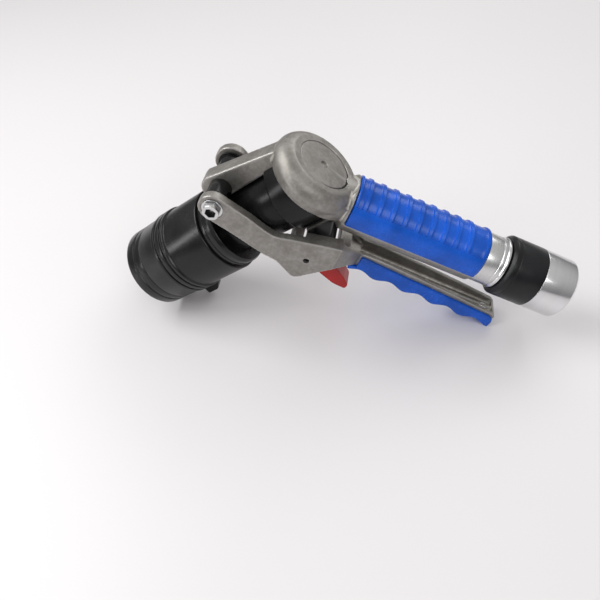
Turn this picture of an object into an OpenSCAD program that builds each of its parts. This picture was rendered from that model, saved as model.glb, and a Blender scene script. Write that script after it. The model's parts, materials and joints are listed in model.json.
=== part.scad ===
// Fuel nozzle with a squeeze lever that straddles the barrel, a sprung latch trigger,
// four clamping jaws in the mouth and a swivelling hose connector.
//
// It is drawn lying along its barrel: +X runs from the mouth to the dome, +Y is the
// far side and +Z is the outside of the bend. stood() then sets it on the floor, where
// it rests on the rim of its mouth and on the tip of its lever.

/* [Barrel] */
// Outer radius of the barrel shell
shell_r = 29.2; // [28.6:0.1:29.6]
// Outer radius of the mouth rim
nose_r = 29; // [28:0.1:29.4]
// Radius of the open mouth
mouth_r = 22; // [21:0.1:22.6]
// Distance from the bend to the mouth rim
nose_x = 141.6; // [139:0.1:144]
// Distance from the bend to the rear edge of the barrel shell
shell_rear_x = 68.6; // [67:0.1:70]
// Outer radius of the neck tube between the lever arms
neck_r = 20.4; // [20:0.1:20.5]

/* [Dome and grip] */
// Largest radius of the dome housing
dome_r = 29.1; // [28.5:0.1:30]
// Radius of the closing disc on the back of the dome
disc_r = 17.3; // [16.8:0.1:17.8]
// Tilt of the dome's axis above the barrel axis
dome_tilt = 15.4; // [14:0.1:17]
// Bend between barrel axis and grip axis
grip_bend = 59; // [58:0.5:60]
// Outer radius of the ribbed grip cover
grip_r = 18; // [17.5:0.1:18.2]
// Distance from the bend to the front of the grip cover
grip_start = 30; // [29:0.5:31]
// Distance from the bend to the rear of the grip cover
grip_end = 119; // [117:0.5:120]
// Number of ribs over the upper side of the grip cover
rib_count = 9; // [6:1:9]

/* [Swivel and connector] */
// Outer radius of the swivel sleeve and the hose connector
swivel_r = 20; // [19:0.1:20]
// Radius of the bore for the hose thread
thread_r = 15.1; // [14:0.1:16]
// Distance from the bend to the open end of the connector
connector_end = 180.6; // [178:0.1:184]

/* [Lever] */
// Height of the lever pivot above the barrel axis
pivot_z = 28.7; // [28.4:0.1:29]
// Distance of the lever pivot ahead of the bend
pivot_x = 44.4; // [44:0.1:45]
// Half width over the outer faces of the two arms
arm_half = 27; // [26.6:0.1:27.5]
// Thickness of each arm
arm_t = 6; // [5:0.1:6]
// Half width of the lever's channel
channel_half = 8.5; // [8:0.1:9]
// Distance from the bend to the tip of the lever, along the grip
lever_end = 157; // [154:0.5:158]
// Spacing of the finger hollows in the lever pad
finger_pitch = 22; // [20:0.5:24]

/* [Hidden] */
$fn = 72;

fit_gap = 0.05;              // between touching parts of one body
run_gap = 0.06;              // radial, where one part turns or slides in another

// barrel stations, as distances ahead of the bend
nose_rear_x = 127;           // joint between nose ring and shell
band_x = 113;                // front of the raised band that carries the two grooves
band_r = shell_r + 1.2;
shell_bore_r = 25;
shell_wall_x = 76;           // front face of the shell's rear wall
collar_rear_x = 59;
flange_x = 14;               // front face of the black flange at the dome
flange_r = 24;

// neck, draw tube and valve
neck_bore_r = 16.2;
draw_r = neck_bore_r - run_gap;
draw_bore_r = 12.5;
draw_front_x = 104;
draw_rear_x = 28;
pin_x = 36;                  // drive pins, on the barrel axis in height
pin_r = 2.2;
jaw_pin_x = 100;
jaw_pin_radius = 20.5;       // distance of the jaw pins from the barrel axis
jaw_pin_r = 1;
jaw_half_angle = 18;
seat_x = 8;                  // rear face of the valve seat
poppet_r = 10.5;
stem_r = 3;
spring_r = 7;
spring_wire = 0.9;
spring_turns = 4;
spring_front = -seat_x + 5;
spring_back = 12;

// dome, drawn about its own axis from the closing disc forward
disc_centre = [17.45, 0, 5.07];
dome_depth = 15.6;
dome_front_r = 26.6;
dome_crown = 0.9;            // the rim round the disc, and the disc, above the datum
disc_t = 4;                  // below the datum
ledge_u = 6;                 // depth of the ledge that carries the disc seal
chamber_r = 15.2;
belly_r = 25.5;              // rounded underside of the housing

// grip stations, as distances from the bend
core_r = 14.5;
core_end = grip_end - 1;
saddle_n = 4.66;             // the cover is a saddle that reaches this far below the axis
pocket_low = 9.3;            // lower edge of the pockets, above the grip axis
rib_first = 6.5;             // from the front of the cover to its first rib
rib_pitch = 8.6;
fuel_r = 8;
tube_r = 16.4;
spigot_r = 12;
ring_s = 131.5;
sleeve_s = 134.6;
connector_s = 158.5;
spigot_end = 164;
ball_s = 142;
ball_r = 1.45;
ball_count = 20;

// spine over the neck, which carries the pivot bolt
spine_half = 6;
spine_nose_x = 48.5;
spine_nose_r = 9;
spine_low = neck_r + 0.8;
bolt_r = 4;
bush_r = 5;
hex_r = 5.8;                 // corner radius of bolt head and nut
head_t = 4;
pivot = [-pivot_x, pivot_z];

// lever outline: the arm's tip, the latch pin, and the channel along the grip
tip_r = 9.2;
latch_pivot = [-20.8, -33.5];
latch_pin_r = 2;
latch_pin_sunk = 2;          // below the outer faces of the cheeks
drive_pin_sunk = 1.2;        // metal left over the ends of the drive pins
far_tip_r = 11.3;            // the far arm's tip is a larger boss
channel_wall = 2.5;
channel_start = 52;
channel_floor = 38;
cheek_end = 35;              // where the cheeks start to close in to the channel
web_n = 26.2;                // top and rear end of the web between the cheeks
web_end = 43;
floor_t = 2.2;
shelf_y = 16.5;              // inner edge of the shelves inside the cheeks
pad_half = 10.3;
pad_start = 53;
pad_wave = 1.6;
screw_places = [66, 107, 149];

// resting pose: the floor touches the mouth rim and the lever tip
function at_grip(s, n) = [
    s * cos(grip_bend) - n * sin(grip_bend),
    -s * sin(grip_bend) - n * cos(grip_bend)
];
function arc(c, r, a0, a1, steps) =
    [for (i = [0:steps]) let (a = a0 + (a1 - a0) * i / steps) c + r * [cos(a), sin(a)]];
function pad_low(s) = 42.7 + 0.025 * (s - 50) - pad_wave * cos(360 * (s - 57) / finger_pitch);
rim_low = [-nose_x, -nose_r + 1.2];
tip_low = at_grip(lever_end - 2, pad_low(lever_end - 2));
floor_tilt = atan2(rim_low[1] - tip_low[1], tip_low[0] - rim_low[0]);
function row_x(p) = p[0] * cos(floor_tilt) - p[1] * sin(floor_tilt);
function row_z(p) = p[0] * sin(floor_tilt) + p[1] * cos(floor_tilt);
row_front = row_x([-nose_x, nose_r - 1.2]);
row_back = row_x(at_grip(connector_end, -swivel_r + 1));

module stood() {
    translate([-(row_front + row_back) / 2, 0, -row_z(rim_low)])
        rotate([0, -floor_tilt, 0])
            children();
}

// placing helpers: each turns a shape drawn along +Z to lie along an axis
module along_barrel(x = 0) { translate([x, 0, 0]) rotate([0, 90, 0]) children(); }
module along_grip(s = 0) { rotate([0, grip_bend, 0]) along_barrel(s) children(); }
module along_dome(u = 0) {
    translate(disc_centre) rotate([0, -dome_tilt, 0]) along_barrel(u) children();
}
module across(p, y = 0) { translate([p[0], y, p[1]]) rotate([-90, 0, 0]) children(); }
module in_grip() { rotate([0, grip_bend, 0]) children(); }
module both_sides() {
    children();
    mirror([0, 1, 0]) children();
}

// a tube, and a plate whose outline is given in the X-Z plane
module tube(r, bore, h) {
    difference() {
        cylinder(r = r, h = h);
        translate([0, 0, -1]) cylinder(r = bore, h = h + 2);
    }
}
module plate(y0, y1, points) {
    translate([0, y1, 0]) rotate([90, 0, 0]) linear_extrude(y1 - y0) polygon(points);
}
module turned(points) { rotate_extrude() polygon(points); }

// ---- casting and what is fixed to it ----

module dome_shape() {
    shoulder = concat(
        [[disc_r + 2.4, dome_crown]],
        arc([disc_r + 2, -8.4], dome_r - disc_r - 2, 75, 0, 6),
        [[dome_front_r, -dome_depth]]
    );
    along_dome() turned(concat([[0, dome_crown]], shoulder, [[0, -dome_depth]]));
}

module spine_shape() {
    nose = [-spine_nose_x, spine_low + spine_nose_r];
    plate(-spine_half, spine_half, concat(
        [[6, spine_low], [6, 29.4], [-1, 30.8]],
        arc(nose, spine_nose_r, 90, 270, 12)
    ));
}

module latch_lug() plate(-8, 8, [[-18, -26.6], [10, -26.6], [10, -24.2], [-18, -24.2]]);

// swells from the dome to the grip, and leaves the dome's shoulder clear
module grip_collar() difference() {
    union() {
        along_grip(21) cylinder(r1 = 11, r2 = grip_r - 0.4, h = 7);
        along_grip(28) cylinder(r = grip_r - 0.4, h = grip_start - 28.4);
    }
    along_dome(-3) cylinder(r = 24.5, h = 20);
}

module body_casting() color([0.62, 0.61, 0.58]) {
    difference() {
        union() {
            dome_shape();
            intersection() {
                translate([8, 0, -4]) sphere(r = belly_r);
                along_dome(-dome_depth) cylinder(r = 60, h = dome_depth - 5);
            }
            grip_collar();
            along_grip(6) cylinder(r = core_r, h = core_end - 6);
            intersection() {
                along_grip(28) cylinder(r = grip_r - 0.1, h = core_end - 28);
                in_grip() translate([28, -30, -30]) cube([core_end, 60, 30 - saddle_n]);
            }
            spine_shape();
            latch_lug();
        }
        // socket for the neck tube, fuel chamber, seat of the closing disc
        along_barrel(-14) cylinder(r = neck_r + fit_gap, h = 15.6);
        along_barrel(1) cylinder(r = chamber_r, h = 9);
        along_dome(-14) cylinder(r = chamber_r, h = 10);
        along_dome(-ledge_u) cylinder(r = disc_r + fit_gap, h = 8);
        // room for the black flange below the spine
        intersection() {
            along_barrel(-flange_x - 1) cylinder(r = flange_r + fit_gap, h = 40);
            along_dome(-dome_depth - 40) cylinder(r = 60, h = 40);
            translate([-40, -40, -80]) cube([80, 80, 80]);
        }
        // fuel way up the grip, and the spigot's socket at its end
        along_grip(0) cylinder(r = fuel_r, h = 130);
        along_grip(core_end - 18) cylinder(r = spigot_r, h = 30);
        across(pivot, -10) cylinder(r = bolt_r + 0.02, h = 20);
    }
}

module dome_disc() color([0.66, 0.65, 0.62]) difference() {
    union() {
        along_dome(-disc_t) cylinder(r = disc_r, h = disc_t + dome_crown);
        intersection() {
            along_barrel(spring_back) cylinder(r = 8.5, h = 12);
            along_dome(-14) cylinder(r = 14, h = 12);
        }
    }
    along_dome(dome_crown + 1.4) sphere(r = 3);
}

module disc_seal() color([0.12, 0.12, 0.12])
    along_dome(-ledge_u) tube(disc_r, chamber_r + 0.4, ledge_u - disc_t);

module flange_ring() color([0.07, 0.07, 0.08]) difference() {
    along_barrel(-flange_x) tube(flange_r, neck_r + fit_gap, 22);
    along_dome(-dome_depth - fit_gap) cylinder(r = 60, h = 60);
    translate([-20, -spine_half - fit_gap, 0]) cube([40, 2 * spine_half + 2 * fit_gap, 40]);
}

module neck_tube() color([0.08, 0.08, 0.09]) difference() {
    union() {
        along_barrel(-shell_wall_x - 6) cylinder(r = neck_r, h = shell_wall_x + 7.5);
        along_barrel(-shell_wall_x - 6) cylinder(r = shell_bore_r - fit_gap, h = 6 - fit_gap);
    }
    along_barrel(-100) cylinder(r = neck_bore_r, h = 110);
    // slots that let the drive pins through on both sides
    translate([-pin_x - 3, -30, -3]) cube([8.4, 60, 6.8]);
}

module rear_collar() color([0.09, 0.09, 0.1]) along_barrel(-shell_rear_x + fit_gap)
    turned([
        [neck_r + fit_gap, 0], [27.5, 0], [27.5, 7],
        [26.4, shell_rear_x - collar_rear_x], [neck_r + fit_gap, shell_rear_x - collar_rear_x]
    ]);

module key_lug() {
    bottom = -38.4;
    plate(-4, 4, concat(
        [[-124, -25.2], [-124, bottom + 1]],
        [[-123, bottom]],
        arc([-114.5, bottom + 4], 4, -90, 0, 6),
        [[-110.5, -25.2]]
    ));
}

module barrel_shell() color([0.05, 0.05, 0.06]) difference() {
    band = nose_rear_x - band_x;
    union() {
        along_barrel(-nose_rear_x) turned([
            [0, 0], [shell_r - 0.5, 0], [shell_r, 0.5], [shell_r, band], [band_r, band + 0.8],
            [band_r, band + 3.6], [band_r - 0.9, band + 3.6], [band_r - 0.9, band + 5],
            [band_r, band + 5], [band_r, band + 8.4], [band_r - 0.9, band + 8.4],
            [band_r - 0.9, band + 9.8], [band_r, band + 9.8], [band_r, band + 11.8],
            [shell_r, band + 12.8], [shell_r, nose_rear_x - shell_rear_x - 1],
            [shell_r - 1, nose_rear_x - shell_rear_x], [0, nose_rear_x - shell_rear_x]
        ]);
        key_lug();
    }
    along_barrel(-nose_rear_x - 1) cylinder(r = shell_bore_r, h = nose_rear_x - shell_wall_x + 1);
    along_barrel(-shell_wall_x - 1) cylinder(r = neck_r + fit_gap, h = 20);
}

module nose_ring() color([0.05, 0.05, 0.06]) along_barrel(-nose_x) turned(concat(
    [[mouth_r, 1.5], [mouth_r + 1.5, 0]],
    arc([nose_r - 1.2, 1.2], 1.2, -90, 0, 5),
    [[nose_r, nose_x - nose_rear_x - fit_gap], [mouth_r, nose_x - nose_rear_x - fit_gap]]
));

module pivot_bolt() color([0.75, 0.75, 0.76]) difference() {
    union() {
        across(pivot, -arm_half - 0.4) cylinder(r = bolt_r, h = 2 * arm_half + 4);
        across(pivot, -arm_half - 0.4 - head_t) cylinder(r = hex_r, h = head_t, $fn = 6);
    }
    across(pivot, -arm_half - 1.4 - head_t) cylinder(r = 3.6, h = head_t + 1, $fn = 6);
}

module pivot_nut() color([0.75, 0.75, 0.76]) difference() {
    across(pivot, arm_half + 0.4) cylinder(r = hex_r, h = 3.4, $fn = 6);
    across(pivot, arm_half) cylinder(r = bolt_r + 0.02, h = 5);
}

// each spacer ends in a wider flange beside the arm
module bolt_spacers() color([0.07, 0.07, 0.08]) both_sides() {
    length = arm_half - arm_t - spine_half - 0.4;
    across(pivot, spine_half + fit_gap) {
        tube(7.2, bolt_r + 0.02, length);
        translate([0, 0, length - 1.2]) tube(8.6, bolt_r + 0.02, 1.2);
    }
}

module valve_seat() color([0.8, 0.7, 0.42]) {
    along_barrel(-seat_x - 6) tube(neck_bore_r - fit_gap, 8, 6);
    along_barrel(-seat_x - 6) tube(4.8, stem_r + run_gap, 4);
    for (a = [0, 120, 240])
        along_barrel(-seat_x - 6) rotate([0, 0, a]) translate([4.4, -1, 0]) cube([5, 2, 4]);
}

// compression spring as a helix of wire between poppet and closing disc
function wire_point(turn, a, rise) = [
    (spring_r + spring_wire * cos(a)) * cos(360 * turn),
    (spring_r + spring_wire * cos(a)) * sin(360 * turn),
    rise * turn / spring_turns + spring_wire * sin(a)
];
module valve_spring() color([0.7, 0.7, 0.72]) {
    sides = 8;
    rings = spring_turns * 20;
    rise = spring_back - spring_front - 2 * spring_wire;
    along_barrel(spring_front + spring_wire) polyhedron(
        points = [for (i = [0:rings], k = [0:sides - 1]) wire_point(i / 20, 360 * k / sides, rise)],
        faces = concat(
            [[for (k = [0:sides - 1]) k]],
            [for (i = [0:rings - 1], k = [0:sides - 1])
                let (a = i * sides + k, b = i * sides + (k + 1) % sides)
                [a, a + sides, b + sides, b]],
            [[for (k = [sides - 1:-1:0]) rings * sides + k]]
        )
    );
}

// ---- grip and hose end ----

module grip_cover() color([0.04, 0.2, 0.68]) difference() {
    length = grip_end - grip_start;
    along_grip(grip_start) turned([
        [core_r + fit_gap, 0], [grip_r - 0.8, 0], [grip_r, 0.8], [grip_r, length - 0.8],
        [grip_r - 0.8, length], [core_r + fit_gap, length]
    ]);
    in_grip() translate([grip_start - 1, -30, -30])
        cube([length + 2, 60, 30 - saddle_n + fit_gap]);
    // shallow pockets over the upper side, which leave the ribs between them
    intersection() {
        for (i = [0:rib_count]) {
            front = i == 0 ? 1.2 : rib_first + (i - 1) * rib_pitch + 1;
            back = i == rib_count ? length - 2 : rib_first + i * rib_pitch - 1;
            along_grip(grip_start + front) tube(grip_r + 2, grip_r - 0.8, back - front);
        }
        in_grip() translate([grip_start, -30, pocket_low]) cube([length, 60, 30]);
    }
}

module handle_tube() color([0.78, 0.78, 0.8]) difference() {
    along_grip(0) turned([
        [0, core_end - 17], [spigot_r - fit_gap, core_end - 17],
        [spigot_r - fit_gap, grip_end + 0.2], [tube_r, grip_end + 0.2], [tube_r, ring_s],
        [spigot_r, ring_s], [spigot_r, 148.9], [10.8, 148.9], [10.8, 151.1],
        [spigot_r, 151.1], [spigot_r, spigot_end], [0, spigot_end]
    ]);
    along_grip(90) cylinder(r = fuel_r, h = 90);
    along_grip(ball_s) rotate_extrude() translate([spigot_r + 0.04, 0]) circle(r = ball_r + 0.05);
}

module retaining_ring() color([0.85, 0.85, 0.87]) along_grip(ring_s + fit_gap) turned([
    [spigot_r + fit_gap, 0], [16.4, 0], [17.1, 0.7], [17.1, 2.1], [16.4, 2.8],
    [spigot_r + fit_gap, 2.8]
]);

module swivel_balls() color([0.8, 0.8, 0.82]) along_grip(ball_s)
    for (i = [0:ball_count - 1])
        rotate([0, 0, i * 360 / ball_count]) translate([spigot_r + 0.04, 0, 0])
            sphere(r = ball_r);

module swivel_seal() color([0.1, 0.1, 0.1]) along_grip(149)
    tube(spigot_r + 0.02, 10.85, 2);

module inlet_filter() color([0.7, 0.68, 0.6]) along_grip(132) turned([
    [0, 0], [5.4, 0], [6.6, 20], [7.9, 20], [7.9, 22], [5.8, 22], [4.6, 1], [0, 1]
]);

module swivel_sleeve() color([0.06, 0.06, 0.07]) difference() {
    along_grip(sleeve_s) turned([
        [spigot_r + run_gap, 0], [swivel_r - 2, 0], [swivel_r, 2],
        [swivel_r, connector_s - sleeve_s - fit_gap],
        [16.1, connector_s - sleeve_s - fit_gap], [16.1, 19.4], [spigot_r + run_gap, 19.4]
    ]);
    along_grip(ball_s) rotate_extrude() translate([spigot_r + 0.04, 0]) circle(r = ball_r + 0.05);
}

module hose_connector() color([0.8, 0.8, 0.82]) along_grip(connector_s) turned([
    [spigot_r + run_gap, -4.4], [16, -4.4], [16, 0], [swivel_r, 0],
    [swivel_r, connector_end - connector_s - 1],
    [swivel_r - 1, connector_end - connector_s],
    [thread_r + 0.8, connector_end - connector_s],
    [thread_r, connector_end - connector_s - 0.8],
    [thread_r, 8.1], [thread_r + 0.8, 8.1], [thread_r + 0.8, 6.1], [spigot_r + run_gap, 6.1]
]);

module connector_seal() color([0.1, 0.1, 0.1]) along_grip(connector_s + 6.2)
    tube(thread_r + 0.7, spigot_r + 0.3, 1.7);

// ---- lever ----

wall_top = [[channel_start, 28.8], [65, 28.4], [80, 29.2], [103, 30.8], [127, 32.5], [154, 35.2]];
function floor_top(s) = channel_floor + 0.02 * (s - channel_start);
function channel_low(s) = floor_top(s) + floor_t;

// side outline of the whole lever: arm, cheek and channel
lever_outline = concat(
    arc(pivot, tip_r, 200, 15, 16),
    [[-29.8, 10.2], [-26.3, -6.4], [-18.6, -14.6], [-5.3, -27.8], [4.6, -38.2]],
    [for (p = wall_top) at_grip(p[0], p[1])],
    [at_grip(lever_end, 37.4), at_grip(lever_end - 1, channel_low(lever_end))],
    [at_grip(channel_start, channel_low(channel_start)), at_grip(48, 38), at_grip(35, 34.5)],
    [[-20, -45.6]],
    arc([-32.9, -36.85], 5.5, -100, -180, 8),
    [[-37.9, -24], [-41.9, -14.6], [-48, 9], [-51.4, 20]]
);

// plan of the lever, wide over the cheeks and narrow along the channel
module lever_plan(wide, narrow, back) {
    in_grip() translate([0, 0, -90]) linear_extrude(180) polygon([
        [-120, -wide], [cheek_end, -wide], [channel_start, -narrow], [back, -narrow],
        [back, narrow], [channel_start, narrow], [cheek_end, wide], [-120, wide]
    ]);
}

module lever_yoke() color([0.6, 0.59, 0.56]) {
    lever_casting();
    // a shelf inside the rear edge of each cheek
    both_sides() plate(shelf_y, arm_half - arm_t + 1, [
        [-12.4, -20.8], [4.6, -38.2], [2.5, -40.3], [-14.5, -22.9]
    ]);
}

module lever_casting() difference() {
    union() {
        intersection() {
            plate(-arm_half, arm_half, lever_outline);
            lever_plan(arm_half, channel_half, lever_end + 5);
        }
        across(pivot, arm_half - arm_t) cylinder(r = far_tip_r, h = arm_t);
    }
    // room between the arms and cheeks, over the web and along the channel
    intersection() {
        plate(-40, 40, [
            at_grip(-120, -90), at_grip(200, -90), at_grip(200, floor_top(200)),
            at_grip(channel_start, channel_floor), at_grip(channel_start, web_n + 6.3),
            at_grip(web_end, web_n + 6.3), at_grip(web_end, web_n),
            at_grip(cheek_end, web_n), at_grip(cheek_end, 90), at_grip(-120, 90)
        ]);
        lever_plan(arm_half - arm_t, channel_half - channel_wall, lever_end - channel_wall);
    }
    across(pivot, -40) cylinder(r = bush_r + 0.02, h = 80);
    across(latch_pivot, -40) cylinder(r = latch_pin_r + 0.02, h = 80);
    across([-pin_x, 0], drive_pin_sunk - arm_half)
        cylinder(r = pin_r + 0.02, h = 2 * (arm_half - drive_pin_sunk));
    for (s = screw_places)
        in_grip() translate([s, 0, -channel_floor - 6]) cylinder(r = 1.55, h = 12);
}

module lever_pad() color([0.04, 0.22, 0.72]) difference() {
    plate(-pad_half, pad_half, concat(
        [for (s = [pad_start, 80, 110, 140, lever_end - 4]) at_grip(s, 31 + 0.068 * (s - 60))],
        [at_grip(lever_end - 1, 39), at_grip(lever_end, 42)],
        [for (i = [0:36])
            let (s = lever_end - (lever_end - 48) * i / 36) at_grip(s, pad_low(s))],
        [at_grip(48, 40.4), at_grip(pad_start, 40)]
    ));
    plate(-channel_half - fit_gap, channel_half + fit_gap, [
        at_grip(40, 20), at_grip(lever_end + 5, 20),
        at_grip(lever_end + 5, channel_low(lever_end + 5) + fit_gap),
        at_grip(40, channel_low(40) + fit_gap)
    ]);
    for (s = screw_places)
        in_grip() translate([s, 0, -floor_top(s) - 5.2]) cylinder(r = 1.55, h = 6);
}

module arm_bushes() color([0.75, 0.62, 0.35]) both_sides()
    across(pivot, arm_half - arm_t) tube(bush_r, bolt_r + run_gap, arm_t);

module drive_pins() color([0.72, 0.72, 0.74]) both_sides()
    across([-pin_x, 0], 14) cylinder(r = pin_r, h = arm_half - drive_pin_sunk - 14);

module latch_pin() color([0.2, 0.2, 0.2])
    across(latch_pivot, latch_pin_sunk - arm_half)
        cylinder(r = latch_pin_r, h = 2 * (arm_half - latch_pin_sunk));

module latch_spring() color([0.7, 0.7, 0.72])
    for (i = [0:3])
        across(latch_pivot, 9.2 + 1.4 * i) rotate_extrude() translate([3.4, 0]) circle(r = 0.68);

module pad_screws() color([0.35, 0.35, 0.36])
    for (s = screw_places)
        in_grip() translate([s, 0, -floor_top(s) + 0.1]) {
            translate([0, 0, -5]) cylinder(r = 1.5, h = 5);
            cylinder(r = 2.8, h = 2);
        }

// a wide cam that turns on the latch pin, and the finger piece below it
module latch_trigger() color([0.62, 0.07, 0.07]) difference() {
    union() {
        across(latch_pivot, -14) cylinder(r = 4, h = 22);
        plate(-14, 8, [
            [-20.8, -29.6], [-16, -31], [-8, -36.5], [-9, -43.5], [-17, -46], [-30, -46],
            [-24.8, -35]
        ]);
        plate(-6.5, 6.5, concat(
            [[-18, -45], [-18.6, -50], [-21.4, -62], [-22.2, -73]],
            arc([-28.4, -77.4], 4.6, -10, -100, 6),
            [[-32.8, -73], [-34.8, -60], [-30.8, -48], [-29.2, -45]]
        ));
    }
    across(latch_pivot, -40) cylinder(r = latch_pin_r + run_gap, h = 80);
}

// ---- draw tube, jaws and valve ----

module draw_tube() color([0.7, 0.7, 0.72]) difference() {
    union() {
        along_barrel(-draw_front_x) cylinder(r = draw_r, h = draw_front_x - draw_rear_x);
        along_barrel(-97) cylinder(r = 24.2, h = 6);
        difference() {
            along_barrel(-jaw_pin_x - 3) tube(24.2, 17.8, 6.5);
            for (a = [0:90:270])
                rotate([a, 0, 0]) translate([-105, -jaw_gap, 0]) cube([8, 2 * jaw_gap, 40]);
        }
    }
    along_barrel(-draw_front_x - 1) cylinder(r = draw_bore_r, h = draw_front_x - draw_rear_x - 3);
    along_barrel(-draw_rear_x - 5) for (a = [45:90:315])
        rotate([0, 0, a]) translate([8, 0, 0]) cylinder(r = 3, h = 8);
    translate([-pin_x - pin_r - 0.1, -20, -3.4]) cube([2 * pin_r + 0.2, 40, 6.8]);
    for (a = [0:90:270]) rotate([a, 0, 0]) jaw_pin_hole(jaw_pin_r + 0.02, 11);
}
jaw_gap = (jaw_pin_radius + 3.2) * sin(jaw_half_angle) + 0.4;

module jaw_pin_hole(r, half) {
    translate([-jaw_pin_x, -half, jaw_pin_radius]) rotate([-90, 0, 0])
        cylinder(r = r, h = 2 * half);
}

module mouth_seal() color([0.1, 0.1, 0.1]) along_barrel(-draw_front_x - 2.6)
    tube(draw_r, draw_bore_r + 0.2, 2.55);

module jaw_pins() color([0.5, 0.5, 0.52])
    for (a = [0:90:270]) rotate([a, 0, 0]) jaw_pin_hole(jaw_pin_r, 10.6);

module jaw() color([0.66, 0.66, 0.68]) intersection() {
    difference() {
        along_barrel(-125.6) turned([
            [17, 0], [23.4, 0], [23.4, 26], [22.6, 28], [18.4, 28], [18.4, 5], [17, 4]
        ]);
        jaw_pin_hole(jaw_pin_r + run_gap, 14);
    }
    rotate([90, 0, 90]) translate([0, 0, -130]) linear_extrude(40)
        polygon([[0, 0], 40 * [sin(jaw_half_angle), cos(jaw_half_angle)],
            40 * [-sin(jaw_half_angle), cos(jaw_half_angle)]]);
}
module jaw_top() { jaw(); }
module jaw_near() { rotate([90, 0, 0]) jaw(); }
module jaw_bottom() { rotate([180, 0, 0]) jaw(); }
module jaw_far() { rotate([-90, 0, 0]) jaw(); }

module valve_poppet() color([0.78, 0.7, 0.45]) along_barrel(0) turned([
    [0, -draw_rear_x + 0.3], [stem_r, -draw_rear_x + 0.3], [stem_r, -seat_x + 0.4],
    [8.6, -seat_x + 0.4], [8.6, -seat_x + 1.4], [poppet_r, -seat_x + 1.4],
    [poppet_r, spring_front - 0.1], [5, spring_front - 0.1], [5, 1], [0, 1]
]);

module poppet_seal() color([0.1, 0.1, 0.1]) along_barrel(-seat_x + 0.05)
    tube(poppet_r, 8.65, 1.3);

stood() body_casting();
stood() dome_disc();
stood() disc_seal();
stood() flange_ring();
stood() neck_tube();
stood() rear_collar();
stood() barrel_shell();
stood() nose_ring();
stood() pivot_bolt();
stood() pivot_nut();
stood() bolt_spacers();
stood() valve_seat();
stood() valve_spring();
stood() grip_cover();
stood() handle_tube();
stood() retaining_ring();
stood() swivel_balls();
stood() swivel_seal();
stood() inlet_filter();
stood() lever_yoke();
stood() lever_pad();
stood() arm_bushes();
stood() drive_pins();
stood() latch_pin();
stood() latch_spring();
stood() pad_screws();
stood() latch_trigger();
stood() draw_tube();
stood() mouth_seal();
stood() jaw_pins();
stood() valve_poppet();
stood() poppet_seal();
stood() jaw_top();
stood() jaw_near();
stood() jaw_bottom();
stood() jaw_far();
stood() swivel_sleeve();
stood() hose_connector();
stood() connector_seal();
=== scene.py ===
import bpy
import json
import math
from mathutils import Matrix, Vector


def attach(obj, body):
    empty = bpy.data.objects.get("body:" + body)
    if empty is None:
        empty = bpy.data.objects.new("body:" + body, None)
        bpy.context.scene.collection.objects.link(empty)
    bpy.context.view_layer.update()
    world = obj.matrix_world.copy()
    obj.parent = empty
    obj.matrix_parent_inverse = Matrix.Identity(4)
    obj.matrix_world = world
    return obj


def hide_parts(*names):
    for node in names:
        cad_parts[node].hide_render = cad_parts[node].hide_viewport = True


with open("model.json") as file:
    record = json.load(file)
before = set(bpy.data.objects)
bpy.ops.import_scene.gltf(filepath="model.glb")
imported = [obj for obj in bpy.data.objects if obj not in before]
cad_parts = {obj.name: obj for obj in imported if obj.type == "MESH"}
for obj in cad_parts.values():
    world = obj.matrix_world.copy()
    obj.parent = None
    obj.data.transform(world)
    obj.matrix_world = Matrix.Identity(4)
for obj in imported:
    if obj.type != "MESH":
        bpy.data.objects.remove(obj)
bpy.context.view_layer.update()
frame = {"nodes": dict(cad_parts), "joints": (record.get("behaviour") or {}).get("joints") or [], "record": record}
print("frame loaded:", len(frame["nodes"]), "nodes")

record = frame["record"]
joints = {joint["name"]: joint for joint in frame["joints"]}
mounts = {mount["name"]: mount for mount in record["mounts"]}

# ---- the nozzle's own axes, read from the record ----
barrelWay = Vector(joints["draw_slide"]["axis"]).normalized()  # from the mouth to the dome
gripWay = Vector(joints["swivel_turn"]["axis"]).normalized()  # from the bend to the hose end
farWay = Vector((0, 1, 0))
millimetre = 0.001
mouthToBend = 133.5  # along the barrel, from the mouth's mount to the bend
bend = Vector(mounts["mouth"]["pos_m"]) + barrelWay * mouthToBend * millimetre
gripBend = math.degrees(barrelWay.angle(gripWay))


def axisFrame(origin, way):
    up = way.cross(farWay)
    turn = Matrix((way, farWay, up)).transposed().to_4x4()
    return Matrix.Translation(origin) @ turn @ Matrix.Scale(millimetre, 4)


barrelFrame = axisFrame(bend, barrelWay)
gripFrame = axisFrame(bend, gripWay)
domePlace = {"x": 17.45, "z": 5.07, "tilt": 15.4}
domeWay = Matrix.Rotation(math.radians(-domePlace["tilt"]), 3, "Y") @ barrelWay
domeFrame = axisFrame(barrelFrame @ Vector((domePlace["x"], 0, domePlace["z"])), domeWay)


def atGrip(s, n):
    # a point s along the grip and n below its axis, in the barrel's own millimetres
    b = math.radians(gripBend)
    return (s * math.cos(b) - n * math.sin(b), -s * math.sin(b) - n * math.cos(b))


def arcPoints(centre, radius, start, end, steps):
    angles = [math.radians(start + (end - start) * i / steps) for i in range(steps + 1)]
    return [(centre[0] + radius * math.cos(a), centre[1] + radius * math.sin(a)) for a in angles]


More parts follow.
